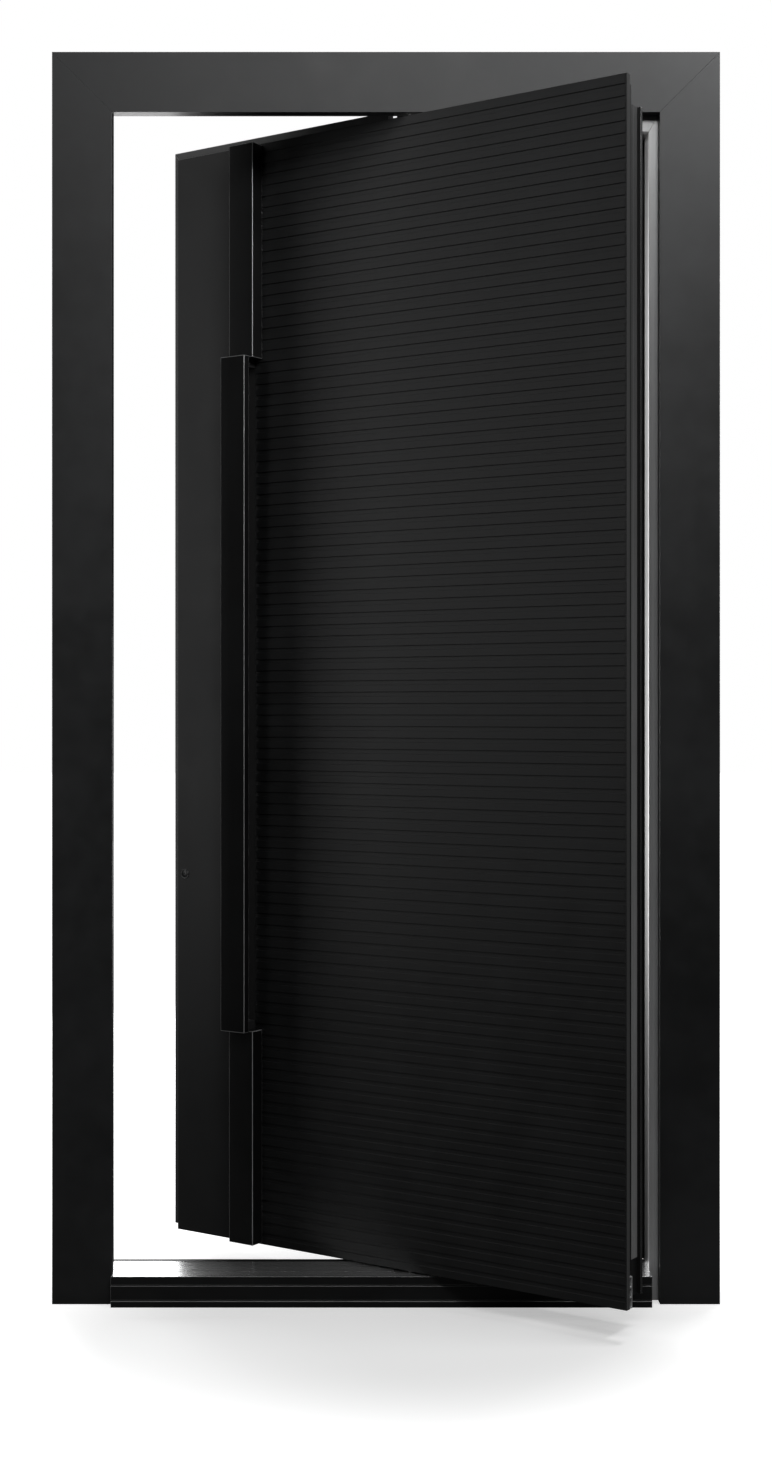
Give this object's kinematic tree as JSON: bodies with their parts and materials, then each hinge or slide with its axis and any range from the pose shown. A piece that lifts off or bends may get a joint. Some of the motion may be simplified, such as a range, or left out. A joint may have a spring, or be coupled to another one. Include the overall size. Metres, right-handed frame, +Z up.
{
  "type": "pivot door set",
  "caption": "Wide entrance door leaf with horizontal ribs, upright trim and a long pull bar, turning about an offset vertical pivot in a thermally broken frame with threshold.",
  "frame": {"origin": "on the threshold's underside, midway between the jambs, in the plane of the frame's outer face", "axes": "+X along the wall from the lock side to the free side, +Y into the building, +Z up"},
  "size_m": [1.5, 0.8172, 2.812],
  "materials": {
    "frame_coat": "fine-textured matt powder coat, anthracite black",
    "leaf_coat": "matt powder coat, near black",
    "grey_profile": "dark grey anodised",
    "satin_profile": "satin anodised, natural",
    "steel": "brushed",
    "web_plastic": "matt black glass-filled polyamide",
    "seal": "matt black sealing rubber",
    "foam": "insulating core, hidden"
  },
  "bodies": {
    "frame": {"left_jamb_face": "frame_coat", "right_jamb_face": "frame_coat", "head_face": "frame_coat", "left_jamb_web": "web_plastic", "right_jamb_web": "web_plastic", "head_web": "web_plastic", "left_jamb_back": "frame_coat", "right_jamb_back": "frame_coat", "head_back": "frame_coat", "head_infill": "frame_coat", "jamb_stop": "satin_profile", "head_stop": "satin_profile", "jamb_seal": "seal", "head_seal": "seal", "threshold_base": "leaf_coat", "threshold_nose": "grey_profile", "threshold_plate": "satin_profile", "threshold_strip": "web_plastic", "top_pivot_bearing": "steel", "top_pivot_housing": "web_plastic", "bottom_pivot_bearing": "steel", "strike_plate": "steel"},
    "leaf": {"lock_panel": "leaf_coat", "handle_channel": "web_plastic", "ribbed_panel": "leaf_coat", "strip_upper": "leaf_coat", "strip_lower": "leaf_coat", "pull_bar": "leaf_coat", "pull_bar_blocks": "grey_profile", "lock_stile": "grey_profile", "free_stile": "grey_profile", "top_rail": "grey_profile", "bottom_rail": "leaf_coat", "leaf_core": "foam", "bottom_profile": "satin_profile", "flange_side": "grey_profile", "flange_top": "grey_profile", "inner_panel": "leaf_coat", "free_edge_seal": "seal", "top_edge_seal": "seal", "lock_faceplate": "steel", "lock_cylinder": "grey_profile", "inner_pull_bar": "leaf_coat", "top_pivot_shoe": "steel", "bottom_pivot_shoe": "steel"}
  },
  "joints": [
    {"name": "leaf_pivot", "type": "hinge", "parent": "frame", "child": "leaf", "pos_m": [0.058, 0.019, 0.0695], "axis": [0, 0, -1], "range_deg": [-34, 56]}
  ]
}
